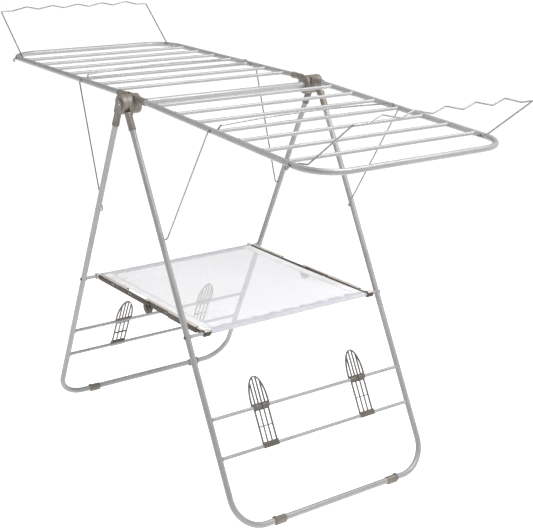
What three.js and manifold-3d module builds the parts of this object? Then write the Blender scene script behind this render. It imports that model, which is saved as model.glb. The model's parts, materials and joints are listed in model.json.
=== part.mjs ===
// Gull-wing clothes drying rack.
//
// Two U-shaped leg frames cross-hinge on one axle tube and stand as a letter A. Two wing frames of
// seven rails hinge on the same axle. Each wing is propped by a wire strut hooked into the legs and
// carries a wavy wire hanger bail at its outer end. Spreader bars with a folding middle joint and a
// mesh shelf lie between the legs, and two clip-on shoe holders sit on the rods of each leg frame.
//
// Millimetres, +Z up, the floor at z = 0. "near" is the -Y side and "far" the +Y side.

import * as THREE from 'three';
import { mergeVertices } from 'three/addons/utils/BufferGeometryUtils.js';
import Module from 'manifold-3d';

const wasm = await Module();
wasm.setup();

// ---------------------------------------------------------------- driving dimensions

const GAP = 0.3;
const DEGREE = Math.PI / 180;

// hub and axle
const HUB_HEIGHT = 954.9;
const AXLE_RADIUS = 8;
const AXLE_WALL = 1;
const EYE_RADIUS = 24.5;
const CAP_RADIUS = 14;
const CAP_HOLE_RADIUS = 3.5;
const CAP_THICKNESS = 2.4;
const EYE_SPAN = {
	legLeft: [ 288.5, 300.5 ],
	legRight: [ 272.5, 288 ],
	wingRight: [ 262.5, 272 ],
	wingLeft: [ 252.5, 262 ],
};

// leg frames: distances are measured down the leg from the hub
const LEG_ANGLE = 26.76 * DEGREE;
const LEG_OFFSET = 13.7;
const LEG_HALF_WIDTH = 292;
const LEG_TUBE_RADIUS = 7.5;
const LEG_LENGTH = 1065.7;
const TUBE_WALL = 0.9;
const TUBE_START = 31;
const CORNER_RADIUS = 80;
const ROD_RADIUS = 4.5;
const ROD_WALL = 0.8;
const SHELF_ROD_DISTANCE = 589;
const UPPER_ROD_DISTANCE = 793.7;
const LOWER_ROD_DISTANCE = 888.9;
const HOOK_DISTANCE = 348;
const SOCKET_START = 27;
const SOCKET_END = { leg: 71, wing: 66 };
const SOCKET_WALL = 1.1;
const COLLAR_STEP = 0.5;

// wing frames: distances are measured along the arm from the hub
const WING_OFFSET = 15.7;
const WING_HALF_WIDTH = 266;
const WING_TUBE_RADIUS = 7;
const WING_LENGTH = 756;
const WING_DROOP = { right: 4.25 * DEGREE, left: - 1.8 * DEGREE };
const RAIL_COUNT = 7;
const RAIL_FIRST = 108.2;
const RAIL_PITCH = 89.2;

// wire struts that prop the wings
const WIRE_RADIUS = 1.9;
const WIRE_BEND = 5;
const STRUT_PIVOT = { right: 367, left: 268 };
const STRUT_HALF_WIDTH = 277;
const STRUT_TIP = 284;
const STRUT_INNER = 252;
const STRUT_RISE = 14;
const STRUT_BOW = 10;
const STRUT_BOW_STEPS = 8;

// wavy hanger bails
const HANGER_PIVOT = { right: 666, left: 690 };
const HANGER_TIP = 277;
const HANGER_TIP_LENGTH = 9;
const HANGER_INNER = 250;
const HANGER_HALF_WIDTH = 244;
const HANGER_HEEL = 26;
const HANGER_HEEL_RISE = 4;
const HANGER_LEG = 173;
const HANGER_RISE = 39.7 * DEGREE;
const WAVE_COUNT = 5;
const WAVE_HALF_WIDTH = 208;
const WAVE_HEIGHT = 14;
const WAVE_VALLEY = 2;
const WAVE_BEND = 9;

// shelf: two spreader bars, each of two halves joined below their middle
const SHELF_SHIFT = 7.5;
const BAR_HALF_SPACING = 252.5;
const BAR_HEIGHT = 15;
const BAR_HALF_THICKNESS = 5.5;
const BAR_END = { right: 245, left: 266 };
const LAP_END = 112;
const LAP_NOSE = 10;
const LAP_SPAN = { right: [ - 2.3, 5.5 ], left: [ - 5.5, - 2.5 ] };
const BAR_PIVOT_DROP = 13;
const LUG_RADIUS = 16;
const PIN_RADIUS = 3;
const PIN_HEAD_RADIUS = 6;
const PIN_HEAD_THICKNESS = 2.2;
const WINDOW_SIZE = [ 14, 7 ];
const WINDOW_PLACES = [ 92, 187 ];
const CLAMP_RADIUS = 9;
const CLAMP_SPAN = { right: [ - 2.5, 14 ], left: [ - 8.5, - 0.5 ] };
const MESH_THICKNESS = 2;
const MESH_CLEARANCE = 2;
const MESH_NOTCH = [ 14, 9 ];

// shoe holders, clipped on the two rods of each leg frame
const HOLDER_Y = { right: [ - 145, 155 ], left: [ - 130, 146 ] };
const HOLDER_TIP = 717.5;
const HOLDER_THICKNESS = 4;
const ARCH_HALF_WIDTH = 26;
const ARCH_FOOT = 13;
const ARCH_RIM = 3.2;
const ARCH_SLAT = 2.6;
const ARCH_OPENINGS = 5;
const ARCH_STEPS = 20;
const GRID_HALF_WIDTH = 21.5;
const GRID_RIM = 3;
const GRID_SLAT = 2.2;
const GRID_COLUMNS = 3;
const BARREL_RADIUS = 7.4;
const BARREL_GAP = 3;
const CLIP_REACH = [ - 5.5, 9 ];
const CLIP_DEPTH = 12.5;
const SNAP_FACE = - 2.6;

// feet on the bottom tubes
const FOOT_Y = 175;
const FOOT_LENGTH = 32;
const FOOT_RADIUS = 9.4;
const FOOT_PAD_WIDTH = 13;
const FOOT_LIP_RADIUS = 10.6;
const FOOT_LIP_LENGTH = 4;

// ---------------------------------------------------------------- materials

const tubeFinish = { color: 0xc8c9cc, roughness: 0.42, metalness: 0.25 };
const wireFinish = { color: 0x9b9c9e, roughness: 0.38, metalness: 0.7 };
const plasticFinish = { color: 0x8b847a, roughness: 0.55, metalness: 0 };
const meshFinish = { color: 0xf2f2f4, roughness: 0.85, metalness: 0 };

// ---------------------------------------------------------------- small helpers

const rack = new THREE.Group();

function addPiece( parent, name, geometry, finish ) {

	const piece = new THREE.Mesh( geometry, new THREE.MeshStandardMaterial( finish ) );
	piece.name = name;
	parent.add( piece );
	return piece;

}

function addGroup( parent, turnY = 0, turnZ = 0 ) {

	const outer = new THREE.Group();
	const inner = new THREE.Group();
	outer.rotation.y = turnY;
	inner.rotation.z = turnZ;
	outer.add( inner );
	parent.add( outer );
	return { outer, inner };

}

function toSolid( geometry ) {

	const plain = geometry.clone();
	plain.deleteAttribute( 'normal' );
	plain.deleteAttribute( 'uv' );
	const merged = mergeVertices( plain, 1e-4 );
	return new wasm.Manifold( new wasm.Mesh( {
		numProp: 3,
		vertProperties: new Float32Array( merged.attributes.position.array ),
		triVerts: new Uint32Array( merged.index.array ),
	} ) );

}

function fromSolid( solid ) {

	const mesh = solid.getMesh();
	const geometry = new THREE.BufferGeometry();
	geometry.setAttribute( 'position', new THREE.BufferAttribute( mesh.vertProperties, 3 ) );
	geometry.setIndex( new THREE.BufferAttribute( mesh.triVerts, 1 ) );
	geometry.computeVertexNormals();
	return geometry;

}

function joinAll( solids ) {

	return solids.reduce( ( whole, solid ) => whole.add( solid ) );

}

function cutAll( solid, cutters ) {

	return cutters.reduce( ( rest, cutter ) => rest.subtract( cutter ), solid );

}

// box from its lowest to its highest corner
function boxSolid( low, high ) {

	const size = high.map( ( value, axis ) => value - low[ axis ] );
	const box = new THREE.BoxGeometry( ...size );
	box.translate( ...low.map( ( value, axis ) => value + size[ axis ] / 2 ) );
	return toSolid( box );

}

// round bar along Y between two Y values, in any order
function barAlongY( radius, from, to, x, z, sides = 24 ) {

	const bar = new THREE.CylinderGeometry( radius, radius, Math.abs( to - from ), sides );
	bar.translate( x, ( from + to ) / 2, z );
	return toSolid( bar );

}

// round bar along X
function barAlongX( radius, from, to, y, z, sides = 24 ) {

	const bar = new THREE.CylinderGeometry( radius, radius, to - from, sides );
	bar.rotateZ( Math.PI / 2 );
	bar.translate( ( from + to ) / 2, y, z );
	return toSolid( bar );

}

// straight hollow rod along Y, centred on y = 0
function hollowRod( radius, wall, halfLength, sides = 12 ) {

	const profile = [
		new THREE.Vector2( radius - wall, - halfLength ),
		new THREE.Vector2( radius, - halfLength ),
		new THREE.Vector2( radius, halfLength ),
		new THREE.Vector2( radius - wall, halfLength ),
		new THREE.Vector2( radius - wall, - halfLength ),
	];
	return new THREE.LatheGeometry( profile, sides );

}

// path through a list of knots, one extrusion step for each stretch between knots
class KnotPath extends THREE.Curve {

	constructor( knots ) {

		super();
		this.knots = knots;
		this.last = knots.length - 1;

	}

	getPointAt( share, target = new THREE.Vector3() ) {

		return target.copy( this.knots[ Math.round( share * this.last ) ] );

	}

	getTangentAt( share, target = new THREE.Vector3() ) {

		const place = Math.round( share * this.last );
		const here = this.knots[ place ];
		const before = this.knots[ Math.max( place - 1, 0 ) ];
		const after = this.knots[ Math.min( place + 1, this.last ) ];
		const arriving = here.clone().sub( before ).normalize();
		const leaving = after.clone().sub( here ).normalize();
		return target.copy( arriving ).add( leaving ).normalize();

	}

}

// knots of a bent wire or tube: straight between corners, an arc at each inner corner
function bentKnots( corners, bendRadius, bendSteps ) {

	const knots = [ corners[ 0 ] ];
	for ( let i = 1; i < corners.length - 1; i ++ ) {

		const arriving = corners[ i ].clone().sub( corners[ i - 1 ] ).normalize();
		const leaving = corners[ i + 1 ].clone().sub( corners[ i ] ).normalize();
		const angle = arriving.angleTo( leaving );
		const inward = leaving.clone().addScaledVector( arriving, - leaving.dot( arriving ) ).normalize();
		const start = corners[ i ].clone().addScaledVector( arriving, - bendRadius * Math.tan( angle / 2 ) );
		for ( let step = 0; step <= bendSteps; step ++ ) {

			const turned = angle * step / bendSteps;
			const knot = start.clone().addScaledVector( arriving, bendRadius * Math.sin( turned ) );
			knot.addScaledVector( inward, bendRadius * ( 1 - Math.cos( turned ) ) );
			knots.push( knot );

		}

	}

	knots.push( corners[ corners.length - 1 ] );
	return knots;

}

function roundSection( radius, sides ) {

	const points = [];
	for ( let i = 0; i < sides; i ++ ) {

		const angle = 2 * Math.PI * i / sides;
		points.push( new THREE.Vector2( radius * Math.cos( angle ), radius * Math.sin( angle ) ) );

	}

	return points;

}

function sweep( knots, radius, sides, wall = 0 ) {

	const section = new THREE.Shape( roundSection( radius, sides ) );
	if ( wall > 0 ) {

		section.holes.push( new THREE.Path( roundSection( radius - wall, sides ) ) );

	}

	return new THREE.ExtrudeGeometry( section, {
		steps: knots.length - 1,
		extrudePath: new KnotPath( knots ),
		bevelEnabled: false,
	} );

}

// ---------------------------------------------------------------- hub pieces

// plastic bracket that turns on the axle and holds one tube end.
// The tube points along +X at height `offset` above the axle.
function hubBracket( side, eyeSpan, offset, halfWidth, tubeRadius, socketEnd ) {

	const [ inner, outer ] = eyeSpan;
	const socketRadius = tubeRadius + GAP + SOCKET_WALL;
	const webInner = Math.max( inner, halfWidth - socketRadius );
	const webOuter = Math.min( outer, halfWidth + socketRadius );
	const eye = barAlongY( EYE_RADIUS, side * inner, side * outer, 0, 0, 32 );
	const webY = [ side * webInner, side * webOuter ].sort( ( a, b ) => a - b );
	const web = boxSolid(
		[ 0, webY[ 0 ], offset - socketRadius + 1 ],
		[ SOCKET_START + 8, webY[ 1 ], offset + socketRadius - 1 ],
	);
	const socket = barAlongX( socketRadius, SOCKET_START, socketEnd, side * halfWidth, offset );
	const collar = barAlongX(
		socketRadius + COLLAR_STEP, socketEnd - 5, socketEnd, side * halfWidth, offset );
	const bore = barAlongX(
		tubeRadius + GAP, TUBE_START - GAP, socketEnd + 1, side * halfWidth, offset, 28 );
	const axleBore = barAlongY(
		AXLE_RADIUS + GAP, side * ( inner - 1 ), side * ( outer + 1 ), 0, 0, 24 );
	return fromSolid( cutAll( joinAll( [ eye, web, socket, collar ] ), [ bore, axleBore ] ) );

}

function addAxle( parent ) {

	const axleHalf = EYE_SPAN.legLeft[ 1 ];
	addPiece( parent, 'axle_tube', hollowRod( AXLE_RADIUS, AXLE_WALL, axleHalf, 24 ), tubeFinish );
	for ( const [ label, side ] of [ [ 'near', - 1 ], [ 'far', 1 ] ] ) {

		const from = side * ( axleHalf + GAP );
		const to = side * ( axleHalf + GAP + CAP_THICKNESS );
		const disc = barAlongY( CAP_RADIUS, from, to, 0, 0, 24 );
		const hole = barAlongY( CAP_HOLE_RADIUS, from - side, to + side, 0, 0, 16 );
		addPiece( parent, `axle_cap_${ label }`, fromSolid( disc.subtract( hole ) ), plasticFinish );

	}

}

// ---------------------------------------------------------------- leg frames

// a leg frame hangs down -Z from the axle, its tubes LEG_OFFSET out along +X
function legTube() {

	const corners = [
		new THREE.Vector3( LEG_OFFSET, - LEG_HALF_WIDTH, - TUBE_START ),
		new THREE.Vector3( LEG_OFFSET, - LEG_HALF_WIDTH, - LEG_LENGTH ),
		new THREE.Vector3( LEG_OFFSET, LEG_HALF_WIDTH, - LEG_LENGTH ),
		new THREE.Vector3( LEG_OFFSET, LEG_HALF_WIDTH, - TUBE_START ),
	];
	const tube = sweep( bentKnots( corners, CORNER_RADIUS, 6 ), LEG_TUBE_RADIUS, 14, TUBE_WALL );
	const cutters = [ - 1, 1 ].map( ( side ) => barAlongY(
		WIRE_RADIUS + 0.4,
		side * ( LEG_HALF_WIDTH - LEG_TUBE_RADIUS - 2 ),
		side * ( LEG_HALF_WIDTH - 2 ),
		LEG_OFFSET, - HOOK_DISTANCE, 10 ) );
	return fromSolid( cutAll( toSolid( tube ), cutters ) );

}

function foot( side ) {

	const half = FOOT_LENGTH / 2;
	const sleeve = barAlongY( FOOT_RADIUS, - half, half, 0, 0 );
	const drop = HUB_HEIGHT + LEG_OFFSET * Math.sin( LEG_ANGLE ) - LEG_LENGTH * Math.cos( LEG_ANGLE );
	const pad = boxSolid( [ - FOOT_PAD_WIDTH / 2, - half, - drop ], [ FOOT_PAD_WIDTH / 2, half, 0 ] );
	const lipEnd = side * half;
	const lip = barAlongY( FOOT_LIP_RADIUS, lipEnd - side * FOOT_LIP_LENGTH, lipEnd, 0, 1 );
	const bore = barAlongY( LEG_TUBE_RADIUS + GAP, - half - 1, half + 1, 0, 0, 28 );
	const below = boxSolid( [ - 20, - half - 1, - drop - 20 ], [ 20, half + 1, - drop ] );
	return fromSolid( cutAll( joinAll( [ sleeve, pad, lip ] ), [ bore, below ] ) );

}

// outline of a round-headed arch: half of an ellipse on a straight foot, `inset` inside the full size
function archShape( inset ) {

	const half = ARCH_HALF_WIDTH - inset;
	const foot = - UPPER_ROD_DISTANCE + inset;
	const spring = - UPPER_ROD_DISTANCE + ARCH_FOOT;
	const rise = UPPER_ROD_DISTANCE - HOLDER_TIP - ARCH_FOOT - inset;
	const points = [ new THREE.Vector2( - half, foot ) ];
	for ( let i = 0; i <= ARCH_STEPS; i ++ ) {

		const turn = Math.PI * ( 1 - i / ARCH_STEPS );
		points.push( new THREE.Vector2( half * Math.cos( turn ), spring + rise * Math.sin( turn ) ) );

	}

	points.push( new THREE.Vector2( half, foot ) );
	return new THREE.Shape( points );

}

// plate cut to a shape drawn across Y and along the leg
function plateSolid( shape, thickness ) {

	const plate = new THREE.ExtrudeGeometry( shape, { depth: thickness, bevelEnabled: false } );
	plate.translate( 0, 0, - thickness / 2 );
	plate.applyMatrix4( new THREE.Matrix4().set(
		0, 0, 1, 0,
		1, 0, 0, 0,
		0, 1, 0, 0,
		0, 0, 0, 1 ) );
	return toSolid( plate );

}

// shoe holder in the plane of the rods: a slatted arch above the upper rod, two barrels round that
// rod, a grid below it and a clip on the lower rod. Barrels and clip are open on the frame's inner
// side, where they snap over the rods. Local Y is across, local Z is down the leg.
function shoeHolder() {

	const depth = HOLDER_THICKNESS;
	const archFloor = - UPPER_ROD_DISTANCE + BARREL_RADIUS + 1.5;
	const opening = plateSolid( archShape( ARCH_RIM ), 2 * depth );
	const archPitch = ( 2 * ( ARCH_HALF_WIDTH - ARCH_RIM ) + ARCH_SLAT ) / ARCH_OPENINGS;
	const archCutters = [];
	for ( let i = 0; i < ARCH_OPENINGS; i ++ ) {

		const low = - ARCH_HALF_WIDTH + ARCH_RIM + i * archPitch;
		const column = boxSolid(
			[ - 2 * depth, low, archFloor ],
			[ 2 * depth, low + archPitch - ARCH_SLAT, - HOLDER_TIP ] );
		archCutters.push( column.intersect( opening ) );

	}

	const arch = cutAll( plateSolid( archShape( 0 ), depth ), archCutters );

	const gridTop = - UPPER_ROD_DISTANCE - BARREL_RADIUS - 1.5;
	const gridBottom = - LOWER_ROD_DISTANCE + CLIP_REACH[ 1 ] - 1;
	const gridMiddle = ( gridTop + gridBottom ) / 2;
	const gridPitch = ( 2 * ( GRID_HALF_WIDTH - GRID_RIM ) + GRID_SLAT ) / GRID_COLUMNS;
	const rail = GRID_SLAT / 2;
	const gridCutters = [];
	for ( let column = 0; column < GRID_COLUMNS; column ++ ) {

		const low = - GRID_HALF_WIDTH + GRID_RIM + column * gridPitch;
		const high = low + gridPitch - GRID_SLAT;
		gridCutters.push( boxSolid( [ - depth, low, gridMiddle + rail ], [ depth, high, gridTop ] ) );
		gridCutters.push( boxSolid( [ - depth, low, gridBottom ], [ depth, high, gridMiddle - rail ] ) );

	}

	const grid = cutAll( boxSolid(
		[ - depth / 2, - GRID_HALF_WIDTH, - LOWER_ROD_DISTANCE ],
		[ depth / 2, GRID_HALF_WIDTH, - UPPER_ROD_DISTANCE ] ), gridCutters );

	const barrels = [ - 1, 1 ].map( ( side ) => barAlongY(
		BARREL_RADIUS, side * BARREL_GAP / 2, side * GRID_HALF_WIDTH, 0, - UPPER_ROD_DISTANCE, 18 ) );
	const clip = boxSolid(
		[ - CLIP_DEPTH / 2, - GRID_HALF_WIDTH, - LOWER_ROD_DISTANCE + CLIP_REACH[ 0 ] ],
		[ CLIP_DEPTH / 2, GRID_HALF_WIDTH, - LOWER_ROD_DISTANCE + CLIP_REACH[ 1 ] ] );
	const bores = [ UPPER_ROD_DISTANCE, LOWER_ROD_DISTANCE ].map( ( distance ) => barAlongY(
		ROD_RADIUS + GAP, - ARCH_HALF_WIDTH - 1, ARCH_HALF_WIDTH + 1, 0, - distance, 16 ) );
	const innerSide = boxSolid(
		[ - CLIP_DEPTH, - ARCH_HALF_WIDTH, - LOWER_ROD_DISTANCE - CLIP_DEPTH ],
		[ SNAP_FACE, ARCH_HALF_WIDTH, - UPPER_ROD_DISTANCE + CLIP_DEPTH ] );
	return fromSolid( cutAll( joinAll( [ arch, grid, ...barrels, clip ] ), [ ...bores, innerSide ] ) );

}

function addLegFrame( name, turn ) {

	const right = name === 'right';
	const { inner } = addGroup( rack, right ? - LEG_ANGLE : LEG_ANGLE, turn );
	const worldSide = right ? 1 : - 1;
	const labelOf = ( side ) => side * worldSide < 0 ? 'near' : 'far';
	addPiece( inner, `leg_tube_${ name }`, legTube(), tubeFinish );

	const rodHalf = LEG_HALF_WIDTH - LEG_TUBE_RADIUS - GAP;
	const rods = {
		shelf_rod: SHELF_ROD_DISTANCE,
		shoe_rod_upper: UPPER_ROD_DISTANCE,
		shoe_rod_lower: LOWER_ROD_DISTANCE,
	};
	for ( const [ label, distance ] of Object.entries( rods ) ) {

		const tube = hollowRod( ROD_RADIUS, ROD_WALL, rodHalf );
		const rod = addPiece( inner, `${ label }_${ name }`, tube, tubeFinish );
		rod.position.set( LEG_OFFSET, 0, - distance );

	}

	for ( const side of [ - 1, 1 ] ) {

		const span = right ? EYE_SPAN.legRight : EYE_SPAN.legLeft;
		const bracket = hubBracket(
			side, span, LEG_OFFSET, LEG_HALF_WIDTH, LEG_TUBE_RADIUS, SOCKET_END.leg );
		bracket.rotateY( Math.PI / 2 );
		addPiece( inner, `leg_bracket_${ name }_${ labelOf( side ) }`, bracket, plasticFinish );

		const shoe = addPiece( inner, `foot_${ name }_${ labelOf( side ) }`, foot( side ), plasticFinish );
		shoe.position.set( LEG_OFFSET, side * FOOT_Y, - LEG_LENGTH );
		shoe.rotation.y = LEG_ANGLE;

		const rivet = addPiece( inner, `shelf_rivet_${ name }_${ labelOf( side ) }`, rivetHead( side ), wireFinish );
		const rivetY = side * ( LEG_HALF_WIDTH + LEG_TUBE_RADIUS + GAP );
		rivet.position.set( LEG_OFFSET, rivetY, - SHELF_ROD_DISTANCE );

	}

	for ( const y of HOLDER_Y[ name ] ) {

		const label = y < 0 ? 'near' : 'far';
		const holder = addPiece( inner, `shoe_holder_${ name }_${ label }`, shoeHolder(), plasticFinish );
		holder.position.set( LEG_OFFSET, y * worldSide, 0 );

	}

}

// shallow domed head that closes a rod's end on the outside of the leg tube
function rivetHead( side ) {

	const profile = [
		new THREE.Vector2( 0, 0 ),
		new THREE.Vector2( 4.4, 0 ),
		new THREE.Vector2( 4, 1.1 ),
		new THREE.Vector2( 2.6, 1.9 ),
		new THREE.Vector2( 0, 2.3 ),
	];
	const head = new THREE.LatheGeometry( profile, 14 );
	if ( side < 0 ) {

		head.rotateX( Math.PI );

	}

	return head;

}

// ---------------------------------------------------------------- wings

// a wing lies along +X from the axle, its tubes WING_OFFSET above it
function wingTube( name ) {

	const corners = [
		new THREE.Vector3( TUBE_START, - WING_HALF_WIDTH, WING_OFFSET ),
		new THREE.Vector3( WING_LENGTH, - WING_HALF_WIDTH, WING_OFFSET ),
		new THREE.Vector3( WING_LENGTH, WING_HALF_WIDTH, WING_OFFSET ),
		new THREE.Vector3( TUBE_START, WING_HALF_WIDTH, WING_OFFSET ),
	];
	const tube = sweep( bentKnots( corners, CORNER_RADIUS, 6 ), WING_TUBE_RADIUS, 14, TUBE_WALL );
	const cutters = [];
	for ( const side of [ - 1, 1 ] ) {

		for ( const distance of [ STRUT_PIVOT[ name ], HANGER_PIVOT[ name ] ] ) {

			cutters.push( barAlongY(
				WIRE_RADIUS + 0.5, side * ( HANGER_INNER - 5 ), side * ( HANGER_TIP + 5 ),
				distance, WING_OFFSET, 10 ) );

		}

	}

	return fromSolid( cutAll( toSolid( tube ), cutters ) );

}

// where the strut's hook meets the leg, seen from the wing's own frame
function hookPlace( name ) {

	const x = LEG_OFFSET * Math.cos( LEG_ANGLE ) + HOOK_DISTANCE * Math.sin( LEG_ANGLE );
	const z = LEG_OFFSET * Math.sin( LEG_ANGLE ) - HOOK_DISTANCE * Math.cos( LEG_ANGLE );
	const droop = WING_DROOP[ name ];
	return new THREE.Vector2(
		x * Math.cos( droop ) - z * Math.sin( droop ),
		x * Math.sin( droop ) + z * Math.cos( droop ) );

}

function strutWire( name ) {

	const pivot = new THREE.Vector2( STRUT_PIVOT[ name ], WING_OFFSET );
	const hook = hookPlace( name );
	const up = pivot.clone().sub( hook ).normalize();
	const at = ( place, y ) => new THREE.Vector3( place.x, y, place.y );
	const halfPath = ( side ) => [
		at( hook, side * STRUT_TIP ),
		at( hook, side * STRUT_HALF_WIDTH ),
		at( pivot, side * STRUT_HALF_WIDTH ),
		at( pivot, side * STRUT_INNER ),
	];
	const bow = [];
	for ( let i = 0; i <= STRUT_BOW_STEPS; i ++ ) {

		const share = 2 * i / STRUT_BOW_STEPS - 1;
		const lift = STRUT_RISE + STRUT_BOW * ( 1 - share * share );
		bow.push( at( pivot.clone().addScaledVector( up, lift ), share * ( STRUT_INNER - 2 ) ) );

	}

	const near = halfPath( - 1 );
	const far = halfPath( 1 ).reverse();
	const start = bentKnots( [ ...near, bow[ 0 ], bow[ 1 ] ], WIRE_BEND, 3 ).slice( 0, - 1 );
	const lastBow = bow.slice( - 2 );
	const end = bentKnots( [ ...lastBow, ...far ], WIRE_BEND, 3 ).slice( 1 );
	return sweep( [ ...start, ...bow.slice( 1, - 1 ), ...end ], WIRE_RADIUS, 8 );

}

function hangerWire( name ) {

	const pivot = new THREE.Vector2( HANGER_PIVOT[ name ], WING_OFFSET );
	const heel = pivot.clone().add( new THREE.Vector2( HANGER_HEEL, HANGER_HEEL_RISE ) );
	const along = new THREE.Vector2( Math.cos( HANGER_RISE ), Math.sin( HANGER_RISE ) );
	const across = new THREE.Vector2( - along.y, along.x );
	const top = heel.clone().addScaledVector( along, HANGER_LEG );
	const at = ( place, y ) => new THREE.Vector3( place.x, y, place.y );
	const halfPath = ( side ) => [
		at( pivot.clone().add( new THREE.Vector2( - HANGER_TIP_LENGTH, 0 ) ), side * HANGER_TIP ),
		at( pivot, side * HANGER_TIP ),
		at( pivot, side * HANGER_INNER ),
		at( heel, side * HANGER_HALF_WIDTH ),
		at( top, side * HANGER_HALF_WIDTH ),
	];
	const wave = [];
	for ( let i = 0; i <= 2 * WAVE_COUNT; i ++ ) {

		const y = - WAVE_HALF_WIDTH + WAVE_HALF_WIDTH * i / WAVE_COUNT;
		const inside = i > 0 && i < 2 * WAVE_COUNT;
		const valley = inside ? WAVE_VALLEY : 0;
		const lift = i % 2 === 1 ? WAVE_HEIGHT : valley;
		wave.push( at( top.clone().addScaledVector( across, lift ), y ) );

	}

	const near = bentKnots( [ ...halfPath( - 1 ), wave[ 0 ] ], WIRE_BEND, 3 ).slice( 0, - 1 );
	const waveStart = at( top, - HANGER_HALF_WIDTH + 12 );
	const waveEnd = at( top, HANGER_HALF_WIDTH - 12 );
	const middle = bentKnots( [ waveStart, ...wave, waveEnd ], WAVE_BEND, 2 );
	const far = bentKnots( [ wave[ 2 * WAVE_COUNT ], ...halfPath( 1 ).reverse() ], WIRE_BEND, 3 ).slice( 1 );
	return sweep( [ ...near, ...middle.slice( 1, - 1 ), ...far ], WIRE_RADIUS, 8 );

}

function addWing( name, turn ) {

	const right = name === 'right';
	const worldSide = right ? 1 : - 1;
	const { inner } = addGroup( rack, worldSide * WING_DROOP[ name ], turn );
	const labelOf = ( side ) => side * worldSide < 0 ? 'near' : 'far';
	addPiece( inner, `wing_tube_${ name }`, wingTube( name ), tubeFinish );

	const railHalf = WING_HALF_WIDTH - WING_TUBE_RADIUS - GAP;
	for ( let i = 0; i < RAIL_COUNT; i ++ ) {

		const tube = hollowRod( ROD_RADIUS, ROD_WALL, railHalf );
		const rail = addPiece( inner, `rail_${ name }_${ i + 1 }`, tube, tubeFinish );
		rail.position.set( RAIL_FIRST + i * RAIL_PITCH, 0, WING_OFFSET );

	}

	for ( const side of [ - 1, 1 ] ) {

		const span = right ? EYE_SPAN.wingRight : EYE_SPAN.wingLeft;
		const bracket = hubBracket(
			side, span, WING_OFFSET, WING_HALF_WIDTH, WING_TUBE_RADIUS, SOCKET_END.wing );
		addPiece( inner, `wing_bracket_${ name }_${ labelOf( side ) }`, bracket, plasticFinish );

	}

	addPiece( inner, `strut_${ name }`, strutWire( name ), wireFinish );
	addPiece( inner, `hanger_${ name }`, hangerWire( name ), wireFinish );

}

// ---------------------------------------------------------------- shelf

// half of a spreader bar on the right side; the left half is turned round Z, which swaps its Y spans.
// +X runs from the middle pivot to the rod, z = 0 is the rod's height
function halfBar( name, rodDistance ) {

	const facing = name === 'right' ? 1 : - 1;
	const localSpan = ( span ) => span.map( ( y ) => y * facing ).sort( ( a, b ) => a - b );
	const lap = localSpan( LAP_SPAN[ name ] );
	const clamp = localSpan( CLAMP_SPAN[ name ] );
	const half = BAR_HALF_THICKNESS;
	const tall = BAR_HEIGHT / 2;
	const plate = boxSolid( [ - LAP_NOSE, lap[ 0 ], - tall ], [ LAP_END + 1, lap[ 1 ], tall ] );
	const lug = barAlongY( LUG_RADIUS, lap[ 0 ], lap[ 1 ], 0, - BAR_PIVOT_DROP, 28 );
	const body = boxSolid( [ LAP_END, - half, - tall ], [ BAR_END[ name ], half, tall ] );
	const arm = boxSolid(
		[ BAR_END[ name ] - 18, Math.max( - half, clamp[ 0 ] ), - 5 ],
		[ rodDistance - ROD_RADIUS, Math.min( half, clamp[ 1 ] ), 5 ] );
	const ring = barAlongY( CLAMP_RADIUS, clamp[ 0 ], clamp[ 1 ], rodDistance, 0, 24 );
	const rodBore = barAlongY( ROD_RADIUS + GAP, clamp[ 0 ] - 4, clamp[ 1 ] + 4, rodDistance, 0, 16 );
	const cutters = [ rodBore ];
	if ( name === 'left' ) {

		cutters.push( barAlongY(
			PIN_RADIUS + GAP, lap[ 0 ] - 1, lap[ 1 ] + 1, 0, - BAR_PIVOT_DROP, 16 ) );

	}

	for ( const place of WINDOW_PLACES ) {

		const [ length, height ] = WINDOW_SIZE;
		cutters.push( boxSolid(
			[ place - length / 2, - half - 1, - height / 2 ],
			[ place + length / 2, half + 1, height / 2 ] ) );

	}

	return fromSolid( cutAll( joinAll( [ plate, lug, body, arm, ring ] ), cutters ) );

}

// headed pin pressed through the outer half's lug
function barPin() {

	const headInner = - BAR_HALF_THICKNESS - GAP;
	const head = barAlongY(
		PIN_HEAD_RADIUS, headInner - PIN_HEAD_THICKNESS, headInner, 0, - BAR_PIVOT_DROP, 20 );
	const shank = barAlongY(
		PIN_RADIUS, headInner - 1, LAP_SPAN.left[ 1 ], 0, - BAR_PIVOT_DROP, 16 );
	return fromSolid( head.add( shank ) );

}

function meshPanel( rodDistance ) {

	const edge = rodDistance - ROD_RADIUS - GAP;
	const nearY = SHELF_SHIFT - BAR_HALF_SPACING + BAR_HALF_THICKNESS + MESH_CLEARANCE;
	const farY = SHELF_SHIFT + BAR_HALF_SPACING + CLAMP_SPAN.left[ 0 ] - MESH_CLEARANCE;
	const outline = new THREE.Shape( [
		new THREE.Vector2( - edge, nearY ),
		new THREE.Vector2( edge - MESH_NOTCH[ 0 ], nearY ),
		new THREE.Vector2( edge - MESH_NOTCH[ 0 ], nearY + MESH_NOTCH[ 1 ] ),
		new THREE.Vector2( edge, nearY + MESH_NOTCH[ 1 ] ),
		new THREE.Vector2( edge, farY ),
		new THREE.Vector2( - edge, farY ),
	] );
	const panel = new THREE.ExtrudeGeometry( outline, { depth: MESH_THICKNESS, bevelEnabled: false } );
	panel.translate( 0, 0, - MESH_THICKNESS / 2 );
	return panel;

}

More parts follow.
